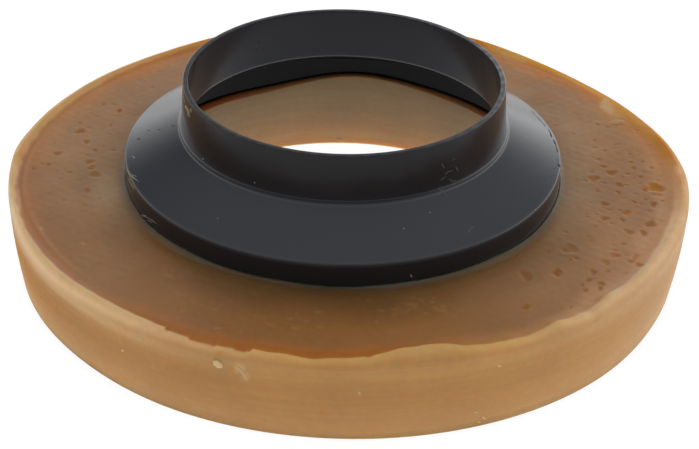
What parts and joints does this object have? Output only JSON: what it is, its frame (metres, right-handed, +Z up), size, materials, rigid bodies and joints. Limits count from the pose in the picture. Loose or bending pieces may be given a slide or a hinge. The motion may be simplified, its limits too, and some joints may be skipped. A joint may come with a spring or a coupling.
{
  "type": "toilet pan seal",
  "caption": "Round wax seal for a toilet outlet, with a stepped black plastic horn set in it that guides the waste into the floor drain.",
  "frame": {"origin": "centre of the wax ring's flat base, on the surface that the seal lies on", "axes": "+Z up out of the base, along the horn's axis towards its tip"},
  "size_m": [0.141, 0.141, 0.039],
  "materials": {
    "wax": "satin amber wax",
    "black_plastic": "satin moulded"
  },
  "bodies": {
    "root": {"wax_ring": "wax", "horn": "black_plastic"}
  },
  "joints": []
}
